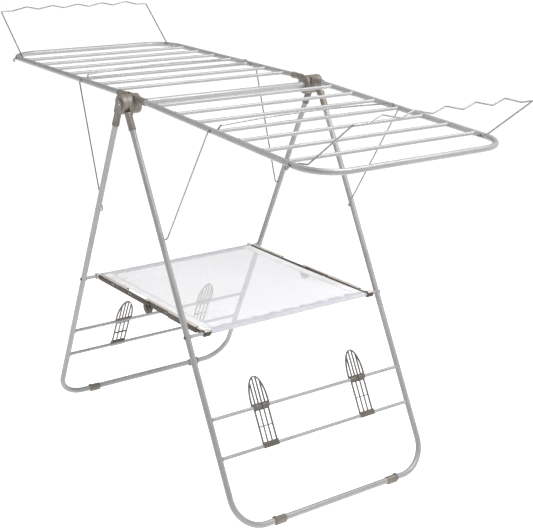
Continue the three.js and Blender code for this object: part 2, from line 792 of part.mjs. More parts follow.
function addShelf() {

	const rodX = LEG_OFFSET * Math.cos( LEG_ANGLE ) + SHELF_ROD_DISTANCE * Math.sin( LEG_ANGLE );
	const rodZ = LEG_OFFSET * Math.sin( LEG_ANGLE ) - SHELF_ROD_DISTANCE * Math.cos( LEG_ANGLE );
	for ( const [ label, side ] of [ [ 'near', - 1 ], [ 'far', 1 ] ] ) {

		for ( const [ name, turn ] of [ [ 'right', 0 ], [ 'left', Math.PI ] ] ) {

			const shape = halfBar( name, rodX );
			const bar = addPiece( rack, `spreader_${ name }_${ label }`, shape, plasticFinish );
			bar.position.set( 0, SHELF_SHIFT + side * BAR_HALF_SPACING, rodZ );
			bar.rotation.z = turn;

		}

		const pin = addPiece( rack, `spreader_pin_${ label }`, barPin(), wireFinish );
		pin.position.set( 0, SHELF_SHIFT + side * BAR_HALF_SPACING, rodZ );

	}

	const panel = addPiece( rack, 'shelf_mesh', meshPanel( rodX ), meshFinish );
	panel.position.z = rodZ;

}

// ---------------------------------------------------------------- assembly

addAxle( rack );
addLegFrame( 'right', 0 );
addLegFrame( 'left', Math.PI );
addWing( 'right', 0 );
addWing( 'left', Math.PI );
addShelf();

// stand the rack on the floor and centre it over the origin
rack.position.z = HUB_HEIGHT;
rack.updateMatrixWorld( true );
const extent = new THREE.Box3().setFromObject( rack, true );
rack.position.x = - ( extent.min.x + extent.max.x ) / 2;
rack.updateMatrixWorld( true );

export default rack;
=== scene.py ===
import json
import math

import bmesh
import bpy
from mathutils import Matrix, Vector


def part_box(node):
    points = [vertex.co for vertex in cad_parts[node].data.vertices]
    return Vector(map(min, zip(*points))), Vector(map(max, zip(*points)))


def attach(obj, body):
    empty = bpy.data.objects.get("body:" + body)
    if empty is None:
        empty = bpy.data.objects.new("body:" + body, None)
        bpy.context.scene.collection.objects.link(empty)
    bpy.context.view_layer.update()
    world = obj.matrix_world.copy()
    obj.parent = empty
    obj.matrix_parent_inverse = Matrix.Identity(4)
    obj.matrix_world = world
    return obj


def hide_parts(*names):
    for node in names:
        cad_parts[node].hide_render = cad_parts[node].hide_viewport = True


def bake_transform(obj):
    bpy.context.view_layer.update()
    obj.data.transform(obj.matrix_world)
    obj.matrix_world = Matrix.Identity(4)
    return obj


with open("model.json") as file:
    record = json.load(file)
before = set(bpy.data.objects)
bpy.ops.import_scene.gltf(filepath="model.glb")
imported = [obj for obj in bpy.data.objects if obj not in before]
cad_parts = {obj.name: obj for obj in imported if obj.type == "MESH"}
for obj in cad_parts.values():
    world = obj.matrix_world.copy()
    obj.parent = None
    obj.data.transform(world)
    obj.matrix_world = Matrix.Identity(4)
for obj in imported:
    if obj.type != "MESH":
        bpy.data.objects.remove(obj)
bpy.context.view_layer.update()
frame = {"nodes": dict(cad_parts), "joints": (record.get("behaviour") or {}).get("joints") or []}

# ------------------------------------------------------------------ dimensions, in metres

MM = 0.001
STRAIGHT = 1e-4
MERGE_DISTANCE = 2e-6
FLAT_ANGLE = math.radians(0.6)
HUB = Vector(next(j for j in frame["joints"] if j["name"] == "leg_fold")["pos_m"])

LEG_ANGLE = math.radians(26.76)
LEG_OFFSET = 13.7 * MM
LEG_HALF_WIDTH = 292 * MM
LEG_TUBE_RADIUS = 7.5 * MM
LEG_LENGTH = 1065.7 * MM
TUBE_START = 31 * MM
TUBE_SIDES = 32
CORNER_RADIUS = 80 * MM
CORNER_STEPS = 18
RIB_WIDTH = 1.4 * MM
# distances from the hub, inner and outer radius
LEG_RIBS = ((33 * MM, 60 * MM), 8.5 * MM, 9.3 * MM)
WING_RIBS = ((33 * MM, 56 * MM), 8 * MM, 8.8 * MM)
ROD_RADIUS = 4.5 * MM
ROD_SIDES = 24
WELD_INSET = 1.2 * MM
# distance from the rod's end, share of its radius
WELD_FLARE = [
    (0.0, 1.42), (0.9 * MM, 1.36), (1.9 * MM, 1.2), (3.0 * MM, 1.07), (4.4 * MM, 1.0),
]
WELD_LUMPS = 0.35
SHELF_ROD_DISTANCE = 589 * MM
SHOE_ROD_DISTANCES = {"shoe_rod_upper": 793.7 * MM, "shoe_rod_lower": 888.9 * MM}
HOOK_DISTANCE = 348 * MM

WING_OFFSET = 15.7 * MM
WING_HALF_WIDTH = 266 * MM
WING_TUBE_RADIUS = 7 * MM
WING_LENGTH = 756 * MM
WING_DROOP = {"right": math.radians(4.25), "left": math.radians(-1.8)}
RAIL_COUNT = 7
RAIL_FIRST = 108.2 * MM
RAIL_PITCH = 89.2 * MM

WIRE_RADIUS = 1.9 * MM
WIRE_BEND = 5 * MM
BEND_STEPS = 7
WIRE_EASE = 0.6 * MM
WIRE_SIDES = 16
STRUT_PIVOT = {"right": 367 * MM, "left": 268 * MM}
STRUT_HALF_WIDTH = 277 * MM
STRUT_TIP = 284 * MM
STRUT_INNER = 252 * MM
STRUT_RISE = 14 * MM
STRUT_BOW = 10 * MM
BOW_STEPS = 24
BOW_INSET = 2 * MM

HANGER_PIVOT = {"right": 666 * MM, "left": 690 * MM}
HANGER_TIP = 277 * MM
HANGER_INNER = 250 * MM
HANGER_HALF_WIDTH = 244 * MM
HANGER_HEEL = 26 * MM
HANGER_HEEL_RISE = 4 * MM
HANGER_LEG = 173 * MM
HANGER_RISE = math.radians(39.7)
HOOK_LOOP_RADIUS = 4.4 * MM
LOOP_STEPS = 16
LOOP_TURN = 290
LOOP_SPREAD = 1.6 * MM
WAVE_COUNT = 5
WAVE_HALF_WIDTH = 208 * MM
WAVE_HEIGHT = 14 * MM
WAVE_VALLEY = 2 * MM
WAVE_BEND = 11 * MM
WAVE_END_INSET = 12 * MM

# inner radius, outer radius, width
GROMMET = (2.1 * MM, 3.6 * MM, 0.9 * MM)
GROMMET_STAND = 0.1 * MM
GROMMET_SIDES = 20

# how far out from the cap's face, radius
PLUG_PROFILE = [
    (-2.2 * MM, 3.3 * MM), (-0.9 * MM, 3.3 * MM), (-0.3 * MM, 3.0 * MM), (0.1 * MM, 2.2 * MM),
    (0.3 * MM, 1.1 * MM), (0.35 * MM, 0.3 * MM),
]

SHELF_Y = (-237.5 * MM, 249.5 * MM)
SLEEVE_RADIUS = 5.7 * MM
SLEEVE_HEM = 15 * MM
SIDE_HEM = 25 * MM
MESH_NOTCH = (14 * MM, 9 * MM)
SHELF_SAG = 2 * MM
SLEEVE_STEPS = 12
NET_COLUMNS = 96
NET_ROWS = 90
NET_START = 2 * MM
SLEEVE_WRAP = 200
SLEEVE_UNDER = -70
# share, waves in radians per metre, phase
RIPPLE_WAVES = [(1, 130, 0), (0.6, 217, 1.3), (0.4, 471, 0.4)]
WANDER_WAVES = [(3.5 * MM, 130, 0), (2.4 * MM, 217, 2)]
RIPPLE_HEIGHT = 1.0 * MM
RIPPLE_ON_ROD = 0.25
RIPPLE_FADE = 14 * MM
RIPPLE_FLOOR = -0.4 * MM
NET_PITCH = 1.8 * MM
HEM_PITCH = 1.1 * MM
# where each side hem's painted shadow line lies in from the hem's edge, and the line's half width
FOLD_SHADOW_INSET = 1.5 * MM
FOLD_SHADOW_HALF_WIDTH = 1.3 * MM
BAR_Y = {"near": -245 * MM, "far": 260 * MM}
INNER_WINDOW = 92 * MM
OUTER_WINDOW = 187 * MM
LAP_SPAN = {"right": (-2.3 * MM, 5.5 * MM), "left": (-5.5 * MM, -2.5 * MM)}
BAR_SPAN = (-5.5 * MM, 5.5 * MM)
PALE_END = 21 * MM
# faces pointing up more than this take the painted highlight
UPWARD = 0.6
PEG_RADIUS = 2.3 * MM
PEG_SPACING = 4.2 * MM
PEG_SIDES = 16
PEG_SHORTER = 0.25 * MM
# half sizes and eased corners of the near-black webs that fill the bar windows as painted shade
SHADE_WEB_HALF_LENGTH = 7.2 * MM
SHADE_WEB_HALF_HEIGHT = 3.7 * MM
SHADE_WEB_HALF_DEPTH = 0.4 * MM
SHADE_WEB_EASE = 1.2 * MM

# how much each kind of part has its edges eased
BEVEL = {
    "bracket": 1.1 * MM, "cap": 0.7 * MM, "axle": 0.3 * MM, "foot": 0.8 * MM, "rivet": 0.2 * MM,
    "holder": 0.45 * MM, "bar": 0.6 * MM, "pin": 0.4 * MM,
}

SIDES = {"right": 1, "left": -1}


def frame_matrix(turn_y, side):
    """Local frame at the hub: +X points outward on either side."""
    half_turn = Matrix.Rotation(0 if side > 0 else math.pi, 4, "Z")
    return Matrix.Translation(HUB) @ Matrix.Rotation(turn_y, 4, "Y") @ half_turn


LEG_FRAME = {name: frame_matrix(-side * LEG_ANGLE, side) for name, side in SIDES.items()}
WING_FRAME = {name: frame_matrix(side * WING_DROOP[name], side) for name, side in SIDES.items()}


def end_label(name, local_side):
    return "near" if local_side * SIDES[name] < 0 else "far"


# ------------------------------------------------------------------ materials

def new_material(name, colour, roughness, metallic=0.0):
    material = bpy.data.materials.new(name)
    material.use_nodes = True
    tree = material.node_tree
    shader = tree.nodes["Principled BSDF"]
    shader.inputs["Base Color"].default_value = (*colour, 1)
    shader.inputs["Roughness"].default_value = roughness
    shader.inputs["Metallic"].default_value = metallic
    return material, tree, shader


def noise(tree, scale, detail=3.0, coordinates="Object", stretch=None):
    source = tree.nodes.new("ShaderNodeTexCoord").outputs[coordinates]
    if stretch:
        mapping = tree.nodes.new("ShaderNodeMapping")
        mapping.inputs["Scale"].default_value = stretch
        tree.links.new(source, mapping.inputs["Vector"])
        source = mapping.outputs["Vector"]
    texture = tree.nodes.new("ShaderNodeTexNoise")
    texture.inputs["Scale"].default_value = scale
    texture.inputs["Detail"].default_value = detail
    tree.links.new(source, texture.inputs["Vector"])
    return texture.outputs["Fac"]


def ramp(tree, value, stops):
    node = tree.nodes.new("ShaderNodeValToRGB")
    elements = node.color_ramp.elements
    while len(elements) < len(stops):
        elements.new(0.5)
    for element, (place, colour) in zip(elements, stops):
        element.position = place
        element.color = (*colour, 1)
    tree.links.new(value, node.inputs["Fac"])
    return node.outputs["Color"]


def remap(tree, value, low, high, from_low=0.3, from_high=0.7):
    node = tree.nodes.new("ShaderNodeMapRange")
    node.inputs["From Min"].default_value = from_low
    node.inputs["From Max"].default_value = from_high
    node.inputs["To Min"].default_value = low
    node.inputs["To Max"].default_value = high
    tree.links.new(value, node.inputs["Value"])
    return node.outputs["Result"]


def bump(tree, shader, heights):
    """heights: (value, strength, distance) from coarse to fine, chained."""
    previous = None
    for value, strength, distance in heights:
        node = tree.nodes.new("ShaderNodeBump")
        node.inputs["Strength"].default_value = strength
        node.inputs["Distance"].default_value = distance
        tree.links.new(value, node.inputs["Height"])
        if previous:
            tree.links.new(previous, node.inputs["Normal"])
        previous = node.outputs["Normal"]
    tree.links.new(previous, shader.inputs["Normal"])


def tinted(colour, factor):
    return tuple(min(1.0, c * factor) for c in colour)


def powder_coat(name, colour):
    """Satin powder coat: fine orange peel, faint cloudiness and rubbed, smoother patches."""
    material, tree, shader = new_material(name, colour, 0.4, 0.15)
    clouds = noise(tree, 14, 4)
    shade = ramp(tree, clouds, [(0.3, tinted(colour, 0.93)), (0.7, tinted(colour, 1.05))])
    tree.links.new(shade, shader.inputs["Base Color"])
    tree.links.new(remap(tree, noise(tree, 60, 5), 0.33, 0.5), shader.inputs["Roughness"])
    shader.inputs["Coat Weight"].default_value = 0.15
    shader.inputs["Coat Roughness"].default_value = 0.3
    bump(tree, shader, [(noise(tree, 330, 2), 0.12, 0.0004), (noise(tree, 1400, 2), 0.1, 0.0001)])
    return material


def drawn_wire(name, colour):
    """Zinc-plated drawn wire: metallic, streaked along its length, with dull spots."""
    material, tree, shader = new_material(name, colour, 0.35, 0.8)
    spots = noise(tree, 180, 5)
    shade = ramp(tree, spots, [(0.32, tinted(colour, 0.8)), (0.68, tinted(colour, 1.12))])
    tree.links.new(shade, shader.inputs["Base Color"])
    tree.links.new(remap(tree, noise(tree, 90, 4), 0.28, 0.5), shader.inputs["Roughness"])
    bump(tree, shader, [(noise(tree, 900, 3, stretch=(1, 0.15, 1)), 0.18, 0.0002)])
    return material


def moulded_plastic(name, colour, roughness=0.45):
    """Moulded plastic: fine spark-eroded grain, faint flow marks and scuffed edges."""
    material, tree, shader = new_material(name, colour, roughness)
    flow = noise(tree, 28, 5, stretch=(1, 1, 0.35))
    tones = [(0.28, tinted(colour, 0.86)), (0.5, colour), (0.76, tinted(colour, 1.14))]
    tree.links.new(ramp(tree, flow, tones), shader.inputs["Base Color"])
    scuffs = remap(tree, noise(tree, 120, 6), roughness - 0.09, roughness + 0.12)
    tree.links.new(scuffs, shader.inputs["Roughness"])
    shader.inputs["Specular IOR Level"].default_value = 0.55
    bump(tree, shader, [(noise(tree, 260, 3), 0.1, 0.0004), (noise(tree, 2200, 2), 0.22, 0.00012)])
    return material


def combine(tree, operation, a, b=None):
    """One maths node. b is a number, another node's output, or nothing."""
    node = tree.nodes.new("ShaderNodeMath")
    node.operation = operation
    tree.links.new(a, node.inputs[0])
    if isinstance(b, (int, float)):
        node.inputs[1].default_value = b
    elif b is not None:
        tree.links.new(b, node.inputs[1])
    return node.outputs[0]


def map_value(tree, across):
    """U (0) or V (1) of the sheet's own map, in metres."""
    coordinates = tree.nodes.new("ShaderNodeTexCoord").outputs["UV"]
    split = tree.nodes.new("ShaderNodeSeparateXYZ")
    tree.links.new(coordinates, split.inputs[0])
    return split.outputs[across]


def thread_pattern(tree, pitch, across):
    """0 to 1 ridges of threads, running across U or V of the sheet's own map."""
    phase = combine(tree, "MULTIPLY", map_value(tree, across), 2 * math.pi / pitch)
    return remap(tree, combine(tree, "SINE", phase), 0, 1, -1, 1)


def open_weave(name, colour, pitch, cover):
    """Sheer polyester net: round threads both ways with open holes between them."""
    material, tree, shader = new_material(name, colour, 0.7)
    warp = thread_pattern(tree, pitch, 0)
    weft = thread_pattern(tree, pitch, 1)
    threads = combine(tree, "MAXIMUM", warp, weft)
    alpha = remap(tree, threads, 0.06, 1.0, cover - 0.16, cover + 0.16)
    tree.links.new(alpha, shader.inputs["Alpha"])
    cloudy = noise(tree, 22, 4, "UV")
    shade = ramp(tree, cloudy, [(0.3, tinted(colour, 0.95)), (0.7, tinted(colour, 1.03))])
    tree.links.new(shade, shader.inputs["Base Color"])
    shader.inputs["Sheen Weight"].default_value = 0.25
    bump(tree, shader, [(threads, 0.5, 0.0002)])
    return material


def fold_shadow_line(tree, across, place, half_width):
    """1 along a painted shadow line at one value of the sheet's map, where a hem's folded edge lies,
    0 beside it.
    """
    offset = combine(tree, "SUBTRACT", map_value(tree, across), place)
    distance = combine(tree, "ABSOLUTE", offset)
    return remap(tree, distance, 1, 0, half_width * 0.6, half_width)


def hem_cloth(name, colour, fold_shadows=()):
    """Close-woven hem tape: twill ridges, slight puckers with painted shade in their dips, and a
    painted shadow line along each folded edge.

    fold_shadows: (which value of the sheet's map, where along it), one pair for each painted shadow
    line.
    """
    material, tree, shader = new_material(name, colour, 0.8)
    warp = thread_pattern(tree, HEM_PITCH, 0)
    weft = thread_pattern(tree, HEM_PITCH, 1)
    puckers = noise(tree, 70, 4, "UV", stretch=(1, 0.4, 1))
    # darker in the dips of the puckers: painted shade in the creases
    shade = ramp(tree, puckers, [(0.3, tinted(colour, 0.9)), (0.7, tinted(colour, 1.03))])
    # painted shadow of each folded edge: the hem darkened to half along its line
    for across, place in fold_shadows:
        mix = tree.nodes.new("ShaderNodeMix")
        mix.data_type = "RGBA"
        mix.inputs["B"].default_value = (*tinted(colour, 0.5), 1)
        tree.links.new(fold_shadow_line(tree, across, place, FOLD_SHADOW_HALF_WIDTH), mix.inputs["Factor"])
        tree.links.new(shade, mix.inputs["A"])
        shade = mix.outputs["Result"]
    tree.links.new(shade, shader.inputs["Base Color"])
    shader.inputs["Sheen Weight"].default_value = 0.3
    bump(tree, shader, [(puckers, 0.5, 0.0012), (combine(tree, "MULTIPLY", warp, weft), 0.4, 0.0002)])
    return material


TUBE = powder_coat("tube_powder_coat", (0.37, 0.37, 0.378))
WIRE = drawn_wire("zinc_wire", (0.32, 0.32, 0.325))
PLASTIC = moulded_plastic("taupe_plastic", (0.2, 0.176, 0.15))
HOLDER_PLASTIC = moulded_plastic("holder_plastic", (0.13, 0.117, 0.102))
BAR_PLASTIC = moulded_plastic("bar_plastic", (0.068, 0.053, 0.043), 0.55)
# near-black plastic of the window webs: painted shade inside the bar windows
WINDOW_SHADE_PLASTIC = moulded_plastic("bar_window_painted_shade", (0.012, 0.01, 0.008), 0.7)
# paler copy of the bar plastic for its upward faces: a painted highlight
BAR_TOP_PAINTED_HIGHLIGHT = moulded_plastic("bar_top_painted_highlight", (0.6, 0.55, 0.5), 0.5)
PALE_PLASTIC = moulded_plastic("pale_plastic", (0.5, 0.5, 0.5))
BAR_MATERIALS = [BAR_PLASTIC, BAR_TOP_PAINTED_HIGHLIGHT, PALE_PLASTIC]
PLUG = moulded_plastic("white_plug", (0.8, 0.8, 0.8), 0.35)
DARK_METAL = drawn_wire("rivet_steel", (0.12, 0.12, 0.125))
NET = open_weave("shelf_net", (0.7, 0.7, 0.72), NET_PITCH, 0.5)
SLEEVE_CLOTH = hem_cloth("shelf_sleeve", (0.6, 0.59, 0.64))
# painted shadow lines along the folded edges of the two side hems
HEM_FOLD_SHADOWS = [
    (1, SHELF_Y[0] + SIDE_HEM - FOLD_SHADOW_INSET),
    (1, SHELF_Y[1] - SIDE_HEM + FOLD_SHADOW_INSET),
]
HEM = hem_cloth("shelf_hem", (0.88, 0.88, 0.89), HEM_FOLD_SHADOWS)


# ------------------------------------------------------------------ mesh helpers

def new_piece(name, vertices, faces, materials, body, replaced=(), smooth_angle=40):
    mesh = bpy.data.meshes.new(name)
    mesh.from_pydata([tuple(v) for v in vertices], [], faces)
    for material in materials:
        mesh.materials.append(material)
    for polygon in mesh.polygons:
        polygon.use_smooth = True
    mesh.set_sharp_from_angle(angle=math.radians(smooth_angle))
    mesh.update()
    piece = bpy.data.objects.new(name, mesh)
    bpy.context.scene.collection.objects.link(piece)
    if body:
        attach(piece, body)
    if replaced:
        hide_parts(*replaced)
    return piece


def bent_path(corners, bend_radius, steps):
    """Straight between corners, with an arc of bend_radius at each inner corner."""
    path = [corners[0].copy()]
    for before, here, after in zip(corners, corners[1:], corners[2:]):
        arriving = (here - before).normalized()
        leaving = (after - here).normalized()
        angle = arriving.angle(leaving, 0)
        if angle < STRAIGHT:
            path.append(here.copy())
            continue
        inward = (leaving - arriving * leaving.dot(arriving)).normalized()
        start = here - arriving * (bend_radius * math.tan(angle / 2))
        for step in range(steps + 1):
            turned = angle * step / steps
            along = arriving * (bend_radius * math.sin(turned))
            path.append(start + along + inward * (bend_radius * (1 - math.cos(turned))))
    path.append(corners[-1].copy())
    return path


def swept(path, radii, sides):
    """Closed tube of round rings along a path, one radius for each point."""
    vertices, faces = [], []
    normal = None
    for i, point in enumerate(path):
        before = path[max(i - 1, 0)]
        after = path[min(i + 1, len(path) - 1)]
        arriving = (point - before).normalized() if i else (after - point).normalized()
        leaving = (after - point).normalized() if i < len(path) - 1 else arriving
        tangent = (arriving + leaving).normalized()
        if normal is None:
            reference = Vector((0, 0, 1)) if abs(tangent.z) < 0.9 else Vector((1, 0, 0))
            normal = tangent.cross(reference).normalized()
        normal = (normal - tangent * normal.dot(tangent)).normalized()
        binormal = tangent.cross(normal)
        for k in range(sides):
            turn = 2 * math.pi * k / sides
            vertices.append(point + (normal * math.cos(turn) + binormal * math.sin(turn)) * radii[i])
    for i in range(len(path) - 1):
        for k in range(sides):
            a, b = i * sides + k, i * sides + (k + 1) % sides
            faces.append((a, b, b + sides, a + sides))
    last = (len(path) - 1) * sides
    faces.append(tuple(range(sides - 1, -1, -1)))
    faces.append(tuple(range(last, last + sides)))
    return vertices, faces


def tube_piece(name, path, radius, sides, material, body, replaced, end_round=0.0):
    """Tube or wire of one radius. end_round eases the two ends, as a cropped wire's are."""
    path = [p.copy() for p in path]
    radii = [radius] * len(path)
    if end_round:
        for first, second in ((0, 1), (-1, -2)):
            toward = (path[second] - path[first]).normalized()
            ring = path[first] + toward * end_round
            place = 1 if first == 0 else len(path) - 1
            path.insert(place, ring)
            radii.insert(place, radius)
            radii[0 if first == 0 else -1] = radius - end_round * 0.8
    vertices, faces = swept(path, radii, sides)
    new_piece(name, vertices, faces, [material], body, replaced)


def merged(parts):
    vertices, faces = [], []
    for more_vertices, more_faces in parts:
        base = len(vertices)
        vertices.extend(more_vertices)
        faces.extend(tuple(i + base for i in face) for face in more_faces)
    return vertices, faces


def welded_rod(name, matrix, x, z, half_length, body):
    """Rod along Y whose two ends flare into a weld bead against the tubes."""
    stations = [(-half_length + d, ROD_RADIUS * f) for d, f in WELD_FLARE]
    stations += [(y, ROD_RADIUS) for y in (-0.5 * half_length, 0.0, 0.5 * half_length)]
    stations += [(half_length - d, ROD_RADIUS * f) for d, f in reversed(WELD_FLARE)]
    path = [matrix @ Vector((x, y, z)) for y, _ in stations]
    vertices, faces = swept(path, [r for _, r in stations], ROD_SIDES)
    lumpy = []
    for index, vertex in enumerate(vertices):
        ring, spoke = divmod(index, ROD_SIDES)
        swell = max(0.0, stations[ring][1] / ROD_RADIUS - 1.05)
        centre = path[ring]
        wobble = 1 + WELD_LUMPS * swell * math.sin(spoke * 1.9 + ring + x * 90)
        lumpy.append(centre + (vertex - centre) * wobble)
    new_piece(name + "_welded", lumpy, faces, [TUBE], body, (name,))


def refined(node, body, materials, bevel, extra=None, sharp=35, choose=None):
    """CAD node with its edges eased: welded, flat faces joined, edges bevelled, shaded smooth.

    extra: (vertices, faces) of ribs or collars that belong to the same moulding.
    choose(face centre, face normal) picks which of the materials a face takes.
    """
    work = bmesh.new()
    work.from_mesh(frame["nodes"][node].data)
    bmesh.ops.remove_doubles(work, verts=work.verts, dist=MERGE_DISTANCE)
    bmesh.ops.dissolve_degenerate(work, edges=work.edges, dist=MERGE_DISTANCE)
    bmesh.ops.dissolve_limit(
        work, angle_limit=FLAT_ANGLE, verts=work.verts, edges=work.edges)
    mesh = bpy.data.meshes.new(node + "_fine")
    work.to_mesh(mesh)
    work.free()
    piece = bpy.data.objects.new(node + "_fine", mesh)
    bpy.context.scene.collection.objects.link(piece)
    rounding = piece.modifiers.new("rounding", "BEVEL")
    rounding.width = bevel
    rounding.segments = 2
    rounding.limit_method = "ANGLE"
    rounding.angle_limit = math.radians(sharp)
    evaluated = piece.evaluated_get(bpy.context.evaluated_depsgraph_get())
    rounded = bpy.data.meshes.new_from_object(evaluated)
    piece.modifiers.clear()
    piece.data = rounded
    if extra:
        work = bmesh.new()
        work.from_mesh(rounded)
        added = bpy.data.meshes.new("added")
        vertices, faces = extra
        added.from_pydata([tuple(v) for v in vertices], [], faces)
        work.from_mesh(added)
        work.to_mesh(rounded)
        work.free()
        bpy.data.meshes.remove(added)
    rounded.materials.clear()
    for material in materials:
        rounded.materials.append(material)
    for polygon in rounded.polygons:
        polygon.use_smooth = True
        polygon.material_index = choose(polygon.center, polygon.normal) if choose else 0
    rounded.set_sharp_from_angle(angle=math.radians(sharp))
    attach(piece, body)
    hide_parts(node)


def ring_around(centre, axis, inner, outer, width, sides=32):
    """Flat-topped ring with eased edges: a washer, rib or collar."""
    axis = axis.normalized()
    across = axis.orthogonal().normalized()
    other = axis.cross(across)
    ease = min(width, outer - inner) * 0.2
    profile = [
        (inner, -width / 2), (outer - ease, -width / 2), (outer, -width / 2 + ease),
        (outer, width / 2 - ease), (outer - ease, width / 2), (inner, width / 2),
    ]
    count = len(profile)
    vertices, faces = [], []
    for k in range(sides):
        turn = 2 * math.pi * k / sides
        spoke = across * math.cos(turn) + other * math.sin(turn)
        vertices.extend(centre + spoke * r + axis * h for r, h in profile)
    for k in range(sides):
        a, b = k * count, ((k + 1) % sides) * count
        for j in range(count):
            n = (j + 1) % count
            faces.append((a + j, b + j, b + n, a + n))
    return vertices, faces


def socket_ribs(socket, along, distances, inner, outer):
    """Raised ribs round a bracket's socket."""
    rings = [ring_around(socket + along * d, along, inner, outer, RIB_WIDTH) for d in distances]
    return merged(rings)


# ------------------------------------------------------------------ leg frames

def build_leg_frame(name):
    body = "frame_" + name
    matrix = LEG_FRAME[name]
    corners = [
        Vector((LEG_OFFSET, -LEG_HALF_WIDTH, -TUBE_START)),
        Vector((LEG_OFFSET, -LEG_HALF_WIDTH, -LEG_LENGTH)),
        Vector((LEG_OFFSET, LEG_HALF_WIDTH, -LEG_LENGTH)),
        Vector((LEG_OFFSET, LEG_HALF_WIDTH, -TUBE_START)),
    ]
    path = [matrix @ p for p in bent_path(corners, CORNER_RADIUS, CORNER_STEPS)]
    tube = "leg_tube_" + name
    tube_piece(tube + "_smooth", path, LEG_TUBE_RADIUS, TUBE_SIDES, TUBE, body, (tube,))

    rod_half = LEG_HALF_WIDTH - LEG_TUBE_RADIUS + WELD_INSET
    distances = {"shelf_rod": SHELF_ROD_DISTANCE, **SHOE_ROD_DISTANCES}
    for label, distance in distances.items():
        welded_rod(f"{label}_{name}", matrix, LEG_OFFSET, -distance, rod_half, body)

    for side in (-1, 1):
        end = end_label(name, side)
        socket = matrix @ Vector((LEG_OFFSET, side * LEG_HALF_WIDTH, 0))
        down = matrix.to_3x3() @ Vector((0, 0, -1))
        ribs = socket_ribs(socket, down, *LEG_RIBS)
        refined(f"leg_bracket_{name}_{end}", body, [PLASTIC], BEVEL["bracket"], ribs)
        refined(f"foot_{name}_{end}", body, [PLASTIC], BEVEL["foot"])
        refined(f"shelf_rivet_{name}_{end}", body, [DARK_METAL], BEVEL["rivet"])
        holder = f"shoe_holder_{name}_{end}"
        refined(holder, body, [HOLDER_PLASTIC], BEVEL["holder"])


# ------------------------------------------------------------------ wings

def to_line(matrix, place, y):
    return matrix @ Vector((place[0], y, place[1]))


def hook_place(name):
    hook = LEG_FRAME[name] @ Vector((LEG_OFFSET, 0, -HOOK_DISTANCE))
    local = WING_FRAME[name].inverted() @ hook
    return Vector((local.x, local.z))


def strut_path(name):
    pivot = Vector((STRUT_PIVOT[name], WING_OFFSET))
    hook = hook_place(name)
    up = (pivot - hook).normalized()
    matrix = WING_FRAME[name]

    def half(side):
        return [
            to_line(matrix, hook, side * STRUT_TIP),
            to_line(matrix, hook, side * STRUT_HALF_WIDTH),
            to_line(matrix, pivot, side * STRUT_HALF_WIDTH),
            to_line(matrix, pivot, side * STRUT_INNER),
        ]

    bow = []
    for i in range(BOW_STEPS + 1):
        share = 2 * i / BOW_STEPS - 1
        lift = STRUT_RISE + STRUT_BOW * (1 - share * share)
        bow.append(to_line(matrix, pivot + up * lift, share * (STRUT_INNER - BOW_INSET)))
    start = bent_path(half(-1) + bow[:2], WIRE_BEND, BEND_STEPS)[:-1]
    end = bent_path(bow[-2:] + half(1)[::-1], WIRE_BEND, BEND_STEPS)[1:]
    return start + bow[1:-1] + end


def hook_loop(matrix, pivot, side):
    """Wire end curled back round on itself outside the arm, from its open end to the pivot."""
    centre = pivot + Vector((0, -HOOK_LOOP_RADIUS))
    loop = []
    for step in range(LOOP_STEPS + 1):
        turn = math.radians(90 - LOOP_TURN + LOOP_TURN * step / LOOP_STEPS)
        spot = centre + Vector((math.cos(turn), math.sin(turn))) * HOOK_LOOP_RADIUS
        spread = LOOP_SPREAD * (1 - step / LOOP_STEPS)
        loop.append(to_line(matrix, spot, side * (HANGER_TIP + spread)))
    return loop


def hanger_path(name):
    matrix = WING_FRAME[name]
    pivot = Vector((HANGER_PIVOT[name], WING_OFFSET))
    heel = pivot + Vector((HANGER_HEEL, HANGER_HEEL_RISE))
    along = Vector((math.cos(HANGER_RISE), math.sin(HANGER_RISE)))
    across = Vector((-along.y, along.x))
    top = heel + along * HANGER_LEG

    def half(side):
        return [
            to_line(matrix, pivot, side * HANGER_TIP),
            to_line(matrix, pivot, side * HANGER_INNER),
            to_line(matrix, heel, side * HANGER_HALF_WIDTH),
            to_line(matrix, top, side * HANGER_HALF_WIDTH),
        ]

    wave = []
    for i in range(2 * WAVE_COUNT + 1):
        y = -WAVE_HALF_WIDTH + WAVE_HALF_WIDTH * i / WAVE_COUNT
        inside = 0 < i < 2 * WAVE_COUNT
        lift = WAVE_HEIGHT if i % 2 else (WAVE_VALLEY if inside else 0)
        wave.append(to_line(matrix, top + across * lift, y))
    end_y = HANGER_HALF_WIDTH - WAVE_END_INSET
    ends = [to_line(matrix, top, side * end_y) for side in (-1, 1)]
    near = bent_path(half(-1) + [wave[0]], WIRE_BEND, BEND_STEPS)[:-1]
    middle = bent_path([ends[0], *wave, ends[1]], WAVE_BEND, BEND_STEPS)[1:-1]
    far = bent_path([wave[-1]] + half(1)[::-1], WIRE_BEND, BEND_STEPS)[1:]
    near_loop = hook_loop(matrix, pivot, -1)[:-1]
    far_loop = hook_loop(matrix, pivot, 1)[:-1][::-1]
    return near_loop + near + middle + far + far_loop


